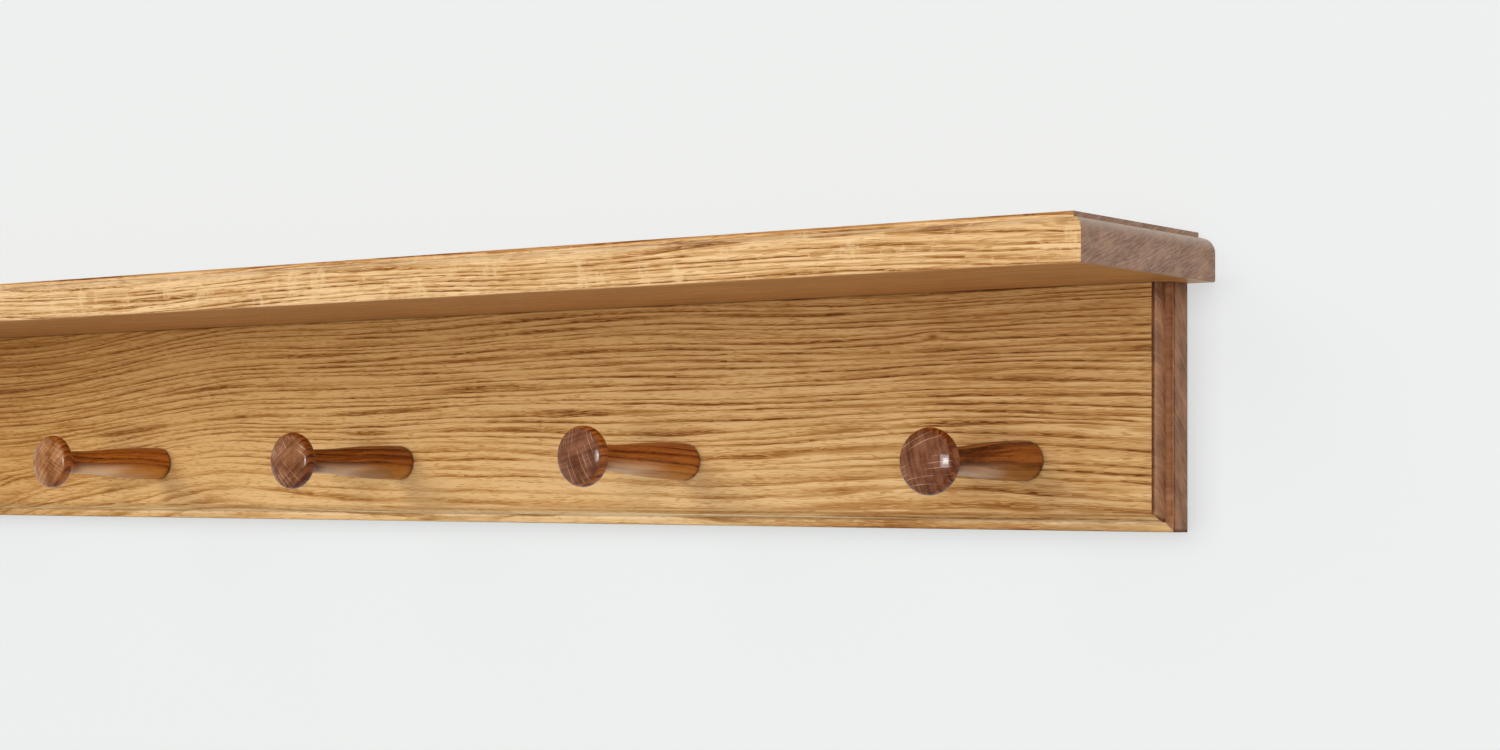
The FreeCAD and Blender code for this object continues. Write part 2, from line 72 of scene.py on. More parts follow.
# Share of the fine lines on a board's end, and the screen colour of the crystals in zinc
FINE_LINES = 0.35
ZINC_CRYSTAL = (196, 192, 176)


def middle(node):
    """Middle of a node's box, in millimetres."""
    low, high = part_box(node)
    return (low + high) / 2 / MM


class Value:
    """A number that changes over a surface. Python's operators on it add Math nodes."""

    def __init__(self, shader, socket):
        self.shader = shader
        self.socket = socket

    def __add__(self, other):
        return self.shader.math("ADD", self, other)

    def __sub__(self, other):
        return self.shader.math("SUBTRACT", self, other)

    def __mul__(self, other):
        return self.shader.math("MULTIPLY", self, other)

    def __truediv__(self, other):
        return self.shader.math("DIVIDE", self, other)

    def __pow__(self, other):
        return self.shader.math("POWER", self, other)

    def __rsub__(self, other):
        return self.shader.math("SUBTRACT", other, self)

    __radd__ = __add__
    __rmul__ = __mul__


class Shader:
    """The node tree of one material or of the room."""

    def __init__(self, owner):
        owner.use_nodes = True
        self.owner = owner
        self.tree = owner.node_tree
        self.tree.nodes.clear()

    def node(self, kind, settings=None, inputs=None, output=0):
        """Add a node, set its settings, then set or link its sockets, and give one of its outputs."""
        made = self.tree.nodes.new(kind)
        for name, setting in (settings or {}).items():
            setattr(made, name, setting)
        for key, value in (inputs or {}).items():
            if isinstance(value, Value):
                self.tree.links.new(value.socket, made.inputs[key])
            else:
                made.inputs[key].default_value = value
        return Value(self, made.outputs[output]) if made.outputs else None

    def math(self, operation, *values):
        return self.node("ShaderNodeMath", {"operation": operation}, dict(enumerate(values)))

    def vector(self, x, y, z):
        return self.node("ShaderNodeCombineXYZ", None, {0: x, 1: y, 2: z})

    def split(self, vector):
        """The three numbers of a vector."""
        first = self.node("ShaderNodeSeparateXYZ", None, {0: vector})
        return [Value(self, output) for output in first.socket.node.outputs]

    def step(self, value, low, high):
        """0 below low, 1 above high and smooth between; the other way round where low is above high."""
        return self.node(
            "ShaderNodeMapRange", {"interpolation_type": "SMOOTHSTEP"}, {0: value, 1: low, 2: high}
        )

    def band(self, value, rise, fall):
        """1 between the two steps rise and fall, each given as its low and high, and 0 beyond them."""
        return self.step(value, *rise) * self.step(value, *fall)

    def mix(self, share, first, second):
        """The first colour where share is 0, and the second where it is 1."""
        return self.node("ShaderNodeMix", {"data_type": "RGBA"}, {0: share, 6: first, 7: second}, 2)

    def scale(self, vector, factor):
        """A vector or a colour times a number."""
        return self.node("ShaderNodeVectorMath", {"operation": "SCALE"}, {0: vector, 3: factor})

    def tint(self, colour, shares):
        """A colour with each of its parts times its own share."""
        return self.node("ShaderNodeVectorMath", {"operation": "MULTIPLY"}, {0: colour, 1: shares})

    def stain(self, colour, keep):
        """A colour that keeps a share of its red, less of its green and still less of its blue.

        Oak darkens this way: the shares are keep, keep ** 1.55 and keep ** 2.45.
        """
        return self.tint(colour, self.vector(keep, keep**1.55, keep**2.45))

    def noise(self, vector, detail=2.0, roughness=0.5, output=0):
        """Soft noise about 0.5, with lumps about one unit of the vector across."""
        inputs = {"Vector": vector, "Scale": 1.0, "Detail": detail, "Roughness": roughness}
        return self.node("ShaderNodeTexNoise", None, inputs, output)


def linear(red, green, blue):
    """A screen colour given in 0 to 255, as the linear colour that a shader takes."""
    parts = np.array([red, green, blue]) / 255
    parts = np.where(parts <= 0.04045, parts / 12.92, ((parts + 0.055) / 1.055) ** 2.4)
    return (*parts.tolist(), 1.0)


class Grain:
    """Where a point lies in the wood of one piece, and noise that runs with its fibres.

    Lengths are in millimetres. along runs with the grain, and first and second run across it. facing is 1 on
    faces across the grain and 0 on faces along it. In a peg, out is the distance from the rail's face.
    """

    def __init__(self, shader, cut):
        s = self.shader = shader
        self.cut = cut
        point = s.node("ShaderNodeTexCoord", None, None, "Object")
        self.point = x, y, z = s.split(s.scale(point, 1 / MM))
        self.normal = s.split(s.node("ShaderNodeNewGeometry", None, None, "Normal"))
        if cut["grain"] == "x":
            self.along, self.first, self.second = x, y, z
            facing = self.normal[0]
        else:
            self.along = y
            self.out = s.math("MAXIMUM", cut["face"] - y, 0.0)
            self.first = x - self.out * cut["tilt"][0] - cut["centre"][0]
            self.second = z - self.out * cut["tilt"][1] - cut["centre"][1]
            facing = self.normal[1]
        self.facing = facing * facing
        self.texture = self.along + cut["seed"]
        waver = s.noise(s.vector(self.texture / 14, self.first * 0.3, self.second * 0.3), 1.0)
        self.bent = self.second + (waver - 0.5) * 2.2
        self.broad = s.split(self.fibres(200.0, 70.0, 0.0, 1))
        self.hairs = self.fibres(30.0, 0.5)
        self.lines = self.fibres(14.0, 0.45)
        self.strands = self.fibres(50.0, 2.2)

    def fibres(self, length, width, detail=1.0, output=0):
        """Noise drawn out along the grain, with lumps of a length and width."""
        place = self.shader.vector(self.texture / length, self.first / width, self.second / width)
        return self.shader.noise(place, detail, 0.55, output)

    def pores(self, length, width, low, high):
        """Thin dark strokes that lie nearly along the grain."""
        place = self.shader.vector(self.texture / length, self.first / width, self.bent / width)
        return self.shader.step(self.shader.noise(place, 0.0), low, high)

    def years(self, rings, length, offset):
        """How far a ring's year has gone, and the year's strength, which changes over a length."""
        year = self.shader.math("FLOOR", rings)
        place = self.shader.vector(self.texture / length, year * 0.77, offset)
        return rings - year, self.shader.noise(place, 1.0)

    def hump(self, along, second, length, height):
        """1 at a place in the wood, falling off as a bell curve over a length and a height."""
        far = (self.along - along) / length
        high = (self.second - second) / height
        return self.shader.math("EXPONENT", (far * far + high * high) * -1.0)


def growth(wood):
    """How far a point lies from the pith across and up, its radius round the pith and its ring's number."""
    s, cut, along = wood.shader, wood.cut, wood.along
    across = wood.first - cut["pith"][0] - along * cut["lean"][0] + (wood.broad[0] - 0.5) * cut["sway"]
    up = wood.second - cut["pith"][1] - along * cut["lean"][1] + (wood.broad[1] - 0.5) * cut["sway"]
    if "dip" in cut:
        start, stop, depth = cut["dip"]
        up = up + s.step(along, start, stop) * depth
    radius = s.math("SQRT", across * across + up * up)
    for *place, rise in cut.get("swells", ()):
        radius = radius - wood.hump(*place) * rise
    kinks = s.split(wood.fibres(26.0, 2.8, 1.0, 1))
    radius = radius + (kinks[0] - 0.5)
    count = radius / cut["ring"]
    uneven = s.noise(s.vector(count * 0.55, cut["seed"], wood.texture / 260), 1.0)
    return across, up, radius, count + uneven * 2.6


def veins(wood, rings):
    """Darkness of the rings' veins, of everything dark in the wood, and of the soft bands after the veins.

    A vein fills the start of its ring and is broken into dashes by pores. A third as far apart as the veins
    lie fainter lines, and fine pores lie everywhere.
    """
    s, cut = wood.shader, wood.cut
    season, strength = wood.years(rings, 60.0, cut["seed"])
    strong = s.step(strength, 0.3, 0.62)
    stroke = s.step(wood.years(rings, 13.0, cut["seed"] + 7.0)[1], 0.3, 0.66)
    short, long = wood.pores(7.0, 0.3, 0.5, 0.6), wood.pores(16.0, 0.38, 0.5, 0.58)
    zone = s.band(season, (0.0, 0.12), (0.55, 0.2))
    edge = s.band(season, (0.0, 0.06), (0.24, 0.08))
    core = zone * s.math("MAXIMUM", short, long * 0.85) * (strong * 0.6 + 0.4)
    core = s.math("MAXIMUM", core, edge * (strong * 0.4 + 0.3) * (stroke * 0.6 + 0.4))
    part, faint = wood.years(rings * 3.0 + 0.4, 24.0, cut["seed"] + 3.0)
    between = s.band(part, (0.0, 0.15), (0.5, 0.2)) * s.step(faint, 0.45, 0.65) * 0.4
    dark = s.math("MAXIMUM", core, between)
    halo = s.band(season, (0.0, 0.12), (strong * 0.4 + 0.55, 0.15))
    halo = halo * (strong * 0.6 + 0.4) * (wood.hairs * 1.2 + 0.2)
    if "calm" in cut:
        start, stop, share = cut["calm"]
        low = s.step(wood.second, start, stop)
        inner = s.step(wood.along, 360.0, 200.0)
        lull = s.step(wood.fibres(80.0, 7.0), 0.4, 0.6)
        dark = dark * (1 - low * inner * (lull * 0.5 + share))
        halo = halo * (1 - low * lull * 0.35)
    if "fade" in cut:
        start, stop, share = cut["fade"]
        dark = dark * (1 - s.step(wood.along, start, stop) * share)
    dark = s.math("MAXIMUM", dark, wood.pores(5.5, 0.32, 0.6, 0.7) * 0.36)
    for along, second, size in cut.get("knots", ()):
        spot = wood.hump(along, second, 2 * size, size)
        dark = s.math("MAXIMUM", dark, spot * wood.lines * 1.4)
    return core, dark, halo


def ray_sheets(wood, across, up, radius):
    """Strength of the rays: thin sheets from the pith outwards, about evenly spaced, and in patches."""
    s, texture, spacing = wood.shader, wood.texture, wood.cut["ray"]
    around = s.math("ARCTAN2", across, up) * wood.cut["distance"]
    waver = s.noise(s.vector(texture / 14, radius / 18, around * 0.08), 1.0) * 0.9
    edge = s.node(
        "ShaderNodeTexVoronoi",
        {"voronoi_dimensions": "1D", "feature": "DISTANCE_TO_EDGE"},
        {"W": around / spacing + waver, "Scale": 1.0},
    )
    patch = s.noise(s.vector(texture / 9, radius / 13, around * (0.5 / spacing)), 1.0)
    return s.step(edge, wood.cut["ray_width"], 0.0) * s.step(patch, 0.40, 0.52)


def side_grain(wood, dark, halo, side):
    """Colour of the faces along the grain."""
    s, cut = wood.shader, wood.cut
    patches = s.step(wood.fibres(45.0, 5.0), 0.38, 0.62) * -0.1 + 1.0
    # Painted shade: the wood is darkened between places along the board
    for start, stop, share in cut.get("shade", ()):
        patches = patches * (1 - s.step(wood.along, start, stop) * share)
    if "streaks" in cut:
        patches = patches * (1 - s.step(wood.strands, 0.5, 0.6) * cut["streaks"])
    keep = (1 - halo * cut["halo"]) * (1 - dark * cut["contrast"]) * patches
    keep = keep * (wood.hairs * 0.55 + wood.strands * 0.3 + 0.58)
    colour = s.stain(side[:3], s.math("MINIMUM", keep, cut["lightest"]))
    # Painted light: the colour turns warmer and yellower up the board and towards its left end, standing in
    # for warm bounced light
    if "drift" in cut:
        up_share, along_share, green, blue = cut["drift"]
        drift = wood.second * up_share - wood.along * along_share
        colour = s.tint(colour, s.vector(1.0, 1 - drift * green, 1 - drift * blue))
    if "fleck" in cut:
        upright = wood.second / 17 + wood.texture / 60
        patch = s.noise(s.vector(wood.texture / 11, wood.first / 14, upright), 3.0, 0.7)
        patch = patch + (wood.hairs - 0.5) * 0.25
        colour = s.mix(s.step(patch, 0.56, 0.66) * cut["fleck"], colour, side)
    return colour


def slanting_lines(wood):
    """Darkness of a board's end: rings cut as slanting lines, with fine lines and blots."""
    s, seed = wood.shader, wood.cut["seed"]
    slant, pitch, strength = wood.cut["end_lines"]
    first, second = wood.first, wood.second
    over = first * math.cos(slant) + second * math.sin(slant) + (wood.broad[0] - 0.5) * 6.0
    down = second * math.cos(slant) - first * math.sin(slant)
    wander = s.noise(s.vector(over * (0.3 / pitch), down * (0.08 / pitch), seed), 2.0)
    wave = s.math("SINE", (over / pitch + wander * 3.0) * (2 * math.pi)) * 0.5 + 0.5
    fine = s.noise(s.vector(over * (1.6 / pitch), down * (0.2 / pitch), seed), 1.0)
    blots = s.noise(s.vector(over * (0.2 / pitch), down * (0.1 / pitch), seed + 9.0), 2.0, 0.6)
    dark = s.step(wave, 0.1, 0.9) * strength + s.step(fine, 0.35, 0.65) * FINE_LINES
    dark = (dark - (strength + FINE_LINES) / 2) * (s.step(wood.facing, 0.7, 0.98) * 0.6 + 0.4)
    return dark + s.step(blots, 0.25, 0.75) * (0.9 - strength) + (strength / 2 + 0.05)


def end_grain(wood, core, halo, rays, end):
    """Colour of the faces across the grain."""
    s, cut = wood.shader, wood.cut
    if "end_lines" in cut:
        dark = slanting_lines(wood)
    else:
        dark = s.math("MAXIMUM", halo * 0.7, core) * cut["end_contrast"]
    colour = s.scale(s.mix(dark, end["light"], end["vein"]), wood.lines * 0.5 + 0.75)
    return s.mix(rays * cut["end_rays"], colour, end["ray"])


def rail_moulding(wood, colour, cut_across):
    """The moulding on the rail's lower edge and ends, and the dark line where the rail meets the shelf.

    It gives the colour along the grain, where the wood is seen end on, and what the end colour keeps. Along
    the bottom lie a painted shadow line at the step of the moulding and a painted light band on the rounding
    below it.
    Past the mitre at the rail's ends lie a painted shade line at the step, the rounding, an arris and the
    ledge, which is as if along the grain. The ledge's darker colour is partly painted shade, and a painted
    shadow of the shelf darkens the top of the ends.
    """
    s, cut, second = wood.shader, wood.cut, wood.second
    ledge_at, joint_at = cut["ledge_at"], cut["joint_at"]
    past = s.math("ABSOLUTE", wood.along) - cut["end_from"]
    past = past - s.math("MAXIMUM", cut["mitre_from"] - second, 0.0)
    past_mitre = s.step(past, -0.2, 0.1)
    # Along the bottom: a painted shadow line at the moulding's step, and a painted light band on the rounding
    # below it
    step_shadow = s.band(second, *cut["step_shadow"]) * (s.step(wood.along, -150.0, 200.0) * 0.24 + 0.08)
    painted_light_band = s.band(second, *cut["painted_light_band"]) * 0.3
    colour = s.stain(colour, 1 - (step_shadow - painted_light_band) * (1 - past_mitre))
    outer = past_mitre * s.step(wood.first, ledge_at - 0.2, ledge_at)
    x, y, z = wood.point
    # The ledge's darker colour is partly painted shade from the rounding beside it; its tone is mottled and
    # darkens towards its rim
    ledge_tone = s.noise(s.vector(x * 0.1, y * 0.1, z * 0.22), 3.0, 0.65) - s.step(past, *LEDGE_RIM) * 0.22
    colour = s.mix(outer, colour, s.stain(cut["ledge_colour"][:3], wood.strands * 0.4 + ledge_tone + 0.3))
    joint = s.step(second, joint_at - 0.7, joint_at - 0.2)
    colour = s.scale(colour, 1 - joint * 0.6)
    # Painted shade line at the step, just past the mitre at the rail's ends
    end_step_shade = past_mitre * s.step(past, *END_STEP_SHADE) * (wood.strands + 0.5)
    arris = outer * s.band(wood.facing, (0.0, 0.1), (1.0, 0.9))
    # Painted shadow of the shelf on the top of the rail's ends
    shelf_shadow = s.step(second, joint_at - 13.0, joint_at) * 0.3
    rounding = (past_mitre - outer) * 0.07
    end_keep = (1 - end_step_shade * 0.55) * (1 - arris * 0.4) * (1 - shelf_shadow) * (1 - rounding)
    ledge = outer * (1 - cut_across)
    return colour, s.math("MAXIMUM", cut_across, past_mitre * (1 - ledge)), end_keep


def shelf_faces(wood, colour):
    """Painted shade on the upper lip of the shelf, and its calm underside in a darker, warmer colour that is
    painted shade.
    """
    s, cut, facing_up = wood.shader, wood.cut, wood.normal[2]
    # Painted shade on the shelf's upper lip
    lip = s.step(wood.second, cut["lip_at"], cut["lip_at"] + 0.7) * s.step(facing_up, 0.7, 0.3)
    colour = s.stain(colour, 1 - lip * 0.35)
    # The underside is coloured darker and warmer as painted shade, a little less towards the right
    lighter = s.step(wood.along, -50.0, 400.0) * 0.14 + 1
    under = s.scale(cut["under"][:3], (wood.strands * 0.7 + wood.hairs * 0.5 + 0.4) * lighter)
    return s.mix(s.step(facing_up, -0.4, -0.8) * 0.8, colour, under)


def peg_faces(wood, colour, end_colour, cut_across):
    """A peg's colour, and what its coat keeps.

    The end grain is clouded. The knob's rim is darker as painted shade and the shaft's foot as a painted
    contact shadow, and the shaft's lower side carries a painted reflection of the room below: warm near the
    rail and pale near the knob.
    """
    s, cut, out, first, second = wood.shader, wood.cut, wood.out, wood.first, wood.second
    clouds = s.noise(s.vector(first / 7, second / 9, cut["seed"]), 2.0, 0.6)
    dots = s.step(s.noise(s.vector(first * 1.9, second * 1.9, cut["seed"]), 1.0), 0.5, 0.64)
    end_colour = s.stain(end_colour, (clouds * 2.1 - 0.06) * (1 - dots * 0.18))
    across = s.math("SQRT", first * first + second * second)
    # Painted shade on the knob's rim, which also has less lacquer
    rim = s.step(across, *RIM_ACROSS) * s.step(out, *RIM_OUT)
    # Painted contact shadow on the shaft's foot at the rail
    foot = s.step(out, *FOOT)
    colour = s.mix(cut_across, colour, end_colour)
    colour = s.stain(colour, (1 - rim * 0.15) * (1 - foot * 0.5))
    # Painted reflection of the room below on the shaft's lower side, warm near the rail and pale near the
    # knob
    belly = s.step(second, *BELLY_DOWN) * s.band(out, *BELLY_OUT)
    sheen = s.step(out + (wood.strands - 0.5) * 14.0 + second * 2.0, *SHEEN_OUT)
    reflection = s.mix(sheen, cut["glow"], cut["belly_colour"])
    colour = s.mix(belly * (sheen * 0.55 + 0.7) * cut["belly"], colour, reflection)
    return colour, (1 - rim * 0.3) * (1 - s.step(out, *THIN_COAT) * 0.45)


def oak(name, cut, side, end, gloss):
    """Lacquered oak as a solid: one field of growth rings, pores and rays runs through the whole piece.

    Rings are circles about a pith line that lies beside the piece and leans and wavers along the grain.
    A point's ring number is its distance from that line over the ring width. Each ring starts with a thin
    dark vein, broken into dashes by pores that lie along the grain, then a softer band that fades into
    smooth light wood. Rays are thin sheets from the pith outwards. Faces across the grain show the same
    field end on, in the end colours.
    """
    s = Shader(bpy.data.materials.new(name))
    wood = Grain(s, cut)
    across, up, radius, rings = growth(wood)
    core, dark, halo = veins(wood, rings)
    rays = ray_sheets(wood, across, up, radius)
    colour = side_grain(wood, dark, halo, side)
    end_colour = end_grain(wood, core, halo, rays, end)
    cut_across = s.step(wood.facing, *cut["end_turn"])
    facing_up = wood.normal[2]
    coat_keep = 1.0
    if "mitre_from" in cut:
        colour, cut_across, end_keep = rail_moulding(wood, colour, cut_across)
        end_colour = s.stain(end_colour, end_keep)
        coat_keep = 1 - s.step(facing_up, -0.3, -0.7) * 0.9
    if "under" in cut:
        colour = shelf_faces(wood, colour)
        # Painted highlight: where the shelf's end faces up, its colour turns towards the pale ray colour,
        # like a reflection of the room above
        end_colour = s.mix(s.step(facing_up, 0.1, 0.95) * 0.6, end_colour, end["ray"])
    colour = s.mix(rays * cut["side_rays"], colour, side)
    if "tilt" in cut:
        colour, coat_keep = peg_faces(wood, colour, end_colour, cut_across)
    else:
        colour = s.mix(cut_across, colour, end_colour)
    x, y, z = wood.point
    relief = s.noise(s.vector(x * 0.3, y * 0.3, z * 0.3), 1.0) * gloss["wave"] - dark
    bump = s.node("ShaderNodeBump", None, {"Strength": 0.2, "Distance": 0.1 * MM, "Height": relief})
    sockets = {
        "Base Color": colour,
        "Roughness": dark * 0.2 + gloss["wood"],
        "Specular IOR Level": gloss["shine"],
        "Coat Weight": (cut_across * gloss["end_coat"] + gloss["coat"]) * coat_keep,
        "Coat Roughness": gloss["coat_roughness"],
        "Normal": bump,
    }
    shader = s.node("ShaderNodeBsdfPrincipled", None, sockets)
    s.node("ShaderNodeOutputMaterial", None, {"Surface": shader})
    return s.owner


def steel(name, colour, roughness):
    """Zinc-plated steel: faint crystals in the plating and fine rolling lines."""
    s = Shader(bpy.data.materials.new(name))
    point = s.node("ShaderNodeTexCoord", None, None, "Object")
    x, y, z = s.split(s.scale(point, 1 / MM))
    lines = s.noise(s.vector(x * 6.0, y * 6.0, z * 0.4), 2.0)
    clouds = s.noise(s.vector(x * 0.5, y * 0.5, z * 0.5), 3.0)
    sockets = {
        "Base Color": s.scale(s.mix(clouds, colour, linear(*ZINC_CRYSTAL)), lines * 0.2 + 0.9),
        "Metallic": 1.0,
        "Roughness": clouds * 0.25 + roughness,
    }
    shader = s.node("ShaderNodeBsdfPrincipled", None, sockets)
    s.node("ShaderNodeOutputMaterial", None, {"Surface": shader})
    return s.owner


def finish(node, material):
    """Give a CAD node's material slots one material."""
    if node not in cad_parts:
        raise RuntimeError(f"The frame has no {node}")
    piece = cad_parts[node]
    for place in piece.material_slots:
        place.material = material


def arc(start, end, radius, turn, count):
    """Points from after start to end along a circle of a radius, which turns left (1) or right (-1)."""
    start, end = np.array(start, float), np.array(end, float)
    chord = end - start
    length = np.hypot(*chord)
    side = np.array([-chord[1], chord[0]]) / length
    centre = (start + end) / 2 + side * turn * math.sqrt(max(radius**2 - length**2 / 4, 0))
    begin = math.atan2(*(start - centre)[::-1])
    sweep = 2 * math.asin(min(length / 2 / radius, 1)) * turn
    angles = begin + sweep * np.arange(1, count + 1) / count
    return centre + radius * np.stack([np.cos(angles), np.sin(angles)], 1)


def line(start, end, count):
    """Points from after start to end along a straight line."""
    share = np.arange(1, count + 1)[:, None] / count
    return np.array(start, float) * (1 - share) + np.array(end, float) * share


def peg_profile(shape):
    """Half outline of a peg as points (radius, distance from the rail's face), tenon first.

    It has straight runs and arcs. The knob's cove, rim and crown are arcs that run smoothly into one another.
    """
    shoulder, rim, crown, bevel = (shape[name] for name in ("shoulder", "rim", "crown", "tenon_bevel"))
    run = shape["neck_reach"] - shape["swell"]
    drop = shape["shaft"] - shape["neck"]
    bend = (run**2 + drop**2) / (2 * drop)
    share = shape["taper_turn"]
    rim_out = shape["knob"] - rim
    rim_rise = math.sqrt((crown - rim) ** 2 - rim_out**2)
    rim_at = shape["reach"] - crown + rim_rise
    crown_share = crown / (crown - rim)
    cove_out = rim_out - shape["neck"]
    cove_run = rim_at - shape["neck_reach"]
    cove = (cove_out**2 + cove_run**2 - rim**2) / (2 * (cove_out + rim))
    cove_share = rim / (cove + rim)
    stops = [
        ((0.0, -shape["tenon_length"]), None),
        ((shape["tenon"] - bevel, -shape["tenon_length"]), 4),
        ((shape["tenon"], bevel - shape["tenon_length"]), 2),
        ((shape["tenon"], 0.0), 6),
        ((shape["shaft"] - shoulder, 0.0), 2),
        ((shape["shaft"], shoulder), (shoulder, 1, 8)),
        ((shape["shaft"], shape["swell"]), 4),
        ((shape["shaft"] - share * drop, shape["swell"] + share * run), (share * bend, 1, 36)),
        ((shape["neck"], shape["neck_reach"]), ((1 - share) * bend, -1, 20)),
        ((rim_out + cove_share * (cove - cove_out), rim_at - cove_share * cove_run), (cove, -1, 24)),
        ((shape["knob"], rim_at), (rim, 1, 10)),
        ((crown_share * rim_out, rim_at + (crown_share - 1) * rim_rise), (rim, 1, 8)),
        ((0.0, shape["reach"]), (crown, 1, 28)),
    ]
    points = [np.array([stops[0][0]])]
    for (start, _), (end, how) in zip(stops, stops[1:]):
        if isinstance(how, tuple):
            points.append(arc(start, end, *how))
        else:
            points.append(line(start, end, how))
    return np.concatenate(points)


def turned(name, profile, axis, face_y, lean, around=160):
    """A solid turned about an axis along Y: each profile point goes round it, and the ends close in poles.

    A point at turn v is (x + r cos v, face_y - t, z + r sin v), with r and t from the profile. The axis is
    at (x, z) in the rail and leans over by (sideways, up) times max(t, 0) in front of it.
    """
    rings = profile[1:-1]
    turns = np.linspace(0, 2 * math.pi, around, endpoint=False)
    radius = rings[:, :1]
    out = np.maximum(profile[:, 1], 0.0)[:, None]
    middles = np.array(axis) + out * np.array(lean)
    body = np.stack(
        [
            middles[1:-1, :1] + radius * np.cos(turns),
            np.repeat(face_y - rings[:, 1:], around, 1),
            middles[1:-1, 1:] + radius * np.sin(turns),
        ],
        -1,
    ).reshape(-1, 3)
    poles = [(middles[end, 0], face_y - profile[end, 1], middles[end, 1]) for end in (0, -1)]
    points = np.concatenate([body, poles]) * MM
    row = np.arange(len(rings) - 1)[:, None] * around
    here = np.arange(around)
    after = (here + 1) % around
    quads = np.stack([row + here, row + after, row + around + after, row + around + here], -1).reshape(-1, 4)
    tenon_pole = len(body)
    knob_pole = tenon_pole + 1
    last = (len(rings) - 1) * around
    ends = np.stack([np.full(around, tenon_pole), after, here], -1)
    caps = np.stack([np.full(around, knob_pole), last + here, last + after], -1)
    mesh = bpy.data.meshes.new(name)
    mesh.from_pydata(points.tolist(), [], quads.tolist() + ends.tolist() + caps.tolist())
    mesh.polygons.foreach_set("use_smooth", np.ones(len(mesh.polygons), bool))
    mesh.update()
    piece = bpy.data.objects.new(name, mesh)
    bpy.context.scene.collection.objects.link(piece)
    return piece


def size_field(name, description, default):
    """A size that a user may change, in metres."""
    return bpy.props.FloatProperty(
        name=name, description=description, default=default, min=0.0, precision=5, subtype="DISTANCE",
        unit="LENGTH",
    )


def share_field(name, description, default, top=1.0):
    """A share or a strength that a user may change."""
    return bpy.props.FloatProperty(
        name=name, description=description, default=default, min=0.0, max=top, subtype="FACTOR"
    )


def colour_field(name, description, screen):
    """A colour that a user may change. Its default is given as a screen colour in 0 to 255."""
    return bpy.props.FloatVectorProperty(
        name=name, description=description, default=linear(*screen), size=4, min=0.0, max=1.0,
        subtype="COLOR",
    )


class PegRailPegs(bpy.types.PropertyGroup):
    """Sizes and woods of the turned pegs"""

    shaft: size_field("Shaft radius", "Radius of the shaft at the rail", 0.00795)
    shoulder: size_field("Shoulder radius", "Rounding of the shaft's end at the rail", 0.002)
    neck: size_field("Neck radius", "Radius at the neck, behind the knob", 0.0054)
    neck_reach: size_field("Neck reach", "From the rail's face to the neck", 0.057)
    knob: size_field("Knob radius", "Radius of the knob at its rim", 0.0127)
    reach: size_field("Knob reach", "From the rail's face to the knob's tip", 0.0736)
    crown: size_field("Crown radius", "Curve of the knob's face", 0.0235)
    rim: size_field("Rim radius", "Rounding of the knob's rim", 0.0035)
    wood_1: colour_field("Peg 1 wood", "Long grain of the first peg from the left", (188, 117, 48))
    wood_2: colour_field("Peg 2 wood", "Long grain of the second peg", (183, 110, 38))
    wood_3: colour_field("Peg 3 wood", "Long grain of the third peg", (156, 89, 31))
    wood_4: colour_field("Peg 4 wood", "Long grain of the fourth peg", (184, 111, 44))
    wood_5: colour_field("Peg 5 wood", "Long grain of the fifth peg", (162, 94, 35))
    end_1: colour_field("Peg 1 knob", "End grain on the first peg's knob", (160, 106, 64))
    end_2: colour_field("Peg 2 knob", "End grain on the second peg's knob", (165, 109, 62))
    end_3: colour_field("Peg 3 knob", "End grain on the third peg's knob", (135, 84, 49))
    end_4: colour_field("Peg 4 knob", "End grain on the fourth peg's knob", (118, 69, 41))
    end_5: colour_field("Peg 5 knob", "End grain on the fifth peg's knob", (120, 71, 42))
    ray: colour_field("Rays", "Pale rays across the knobs", (206, 166, 132))
    # Colours of the painted reflection of the room below on the shafts' lower side
    belly: colour_field("Underside", "Pale lower side of the shafts, near the knob", (240, 196, 148))
    glow: colour_field("Underside at the rail", "Warm lower side of the shafts, at the rail", (222, 156, 74))
    lacquer: share_field("Lacquer", "Strength of the lacquer on the pegs", 0.7)


class PegRailBoards(bpy.types.PropertyGroup):
    """Woods of the rail board and the shelf board"""

    rail_wood: colour_field("Rail", "Long grain of the rail board", (233, 193, 134))
    rail_end: colour_field("Rail end", "Light wood on the rail's ends", (182, 134, 98))
    rail_end_vein: colour_field("Rail end veins", "Dark veins on the rail's ends", (122, 82, 58))
    # The ledge's colour is darker partly as painted shade from the rounding beside it
    rail_ledge: colour_field("Rail ledge", "Ledge of the moulding at the rail's ends", (147, 98, 66))
    rail_ring: size_field("Rail rings", "Width of one growth ring in the rail board", 0.0022)
    shelf_wood: colour_field("Shelf", "Long grain of the shelf board", (228, 193, 145))
    shelf_end: colour_field("Shelf end", "Light wood on the shelf's ends", (187, 145, 116))
    shelf_end_vein: colour_field("Shelf end veins", "Dark veins on the shelf's ends", (130, 93, 71))
    # The underside's darker, warmer colour is painted shade
    shelf_under: colour_field("Shelf underside", "Underside of the shelf board", (192, 130, 70))
    shelf_ring: size_field("Shelf rings", "Width of one growth ring in the shelf board", 0.0017)
    lacquer: share_field("Lacquer", "Strength of the lacquer on the boards", 0.2)


class PegRailFixings(bpy.types.PropertyGroup):
    """Metals of the hanger plates and the screws"""

    plate: colour_field("Plates", "Zinc on the hanger plates", (206, 207, 205))
    screw: colour_field("Screws", "Zinc on the screws", (214, 206, 184))


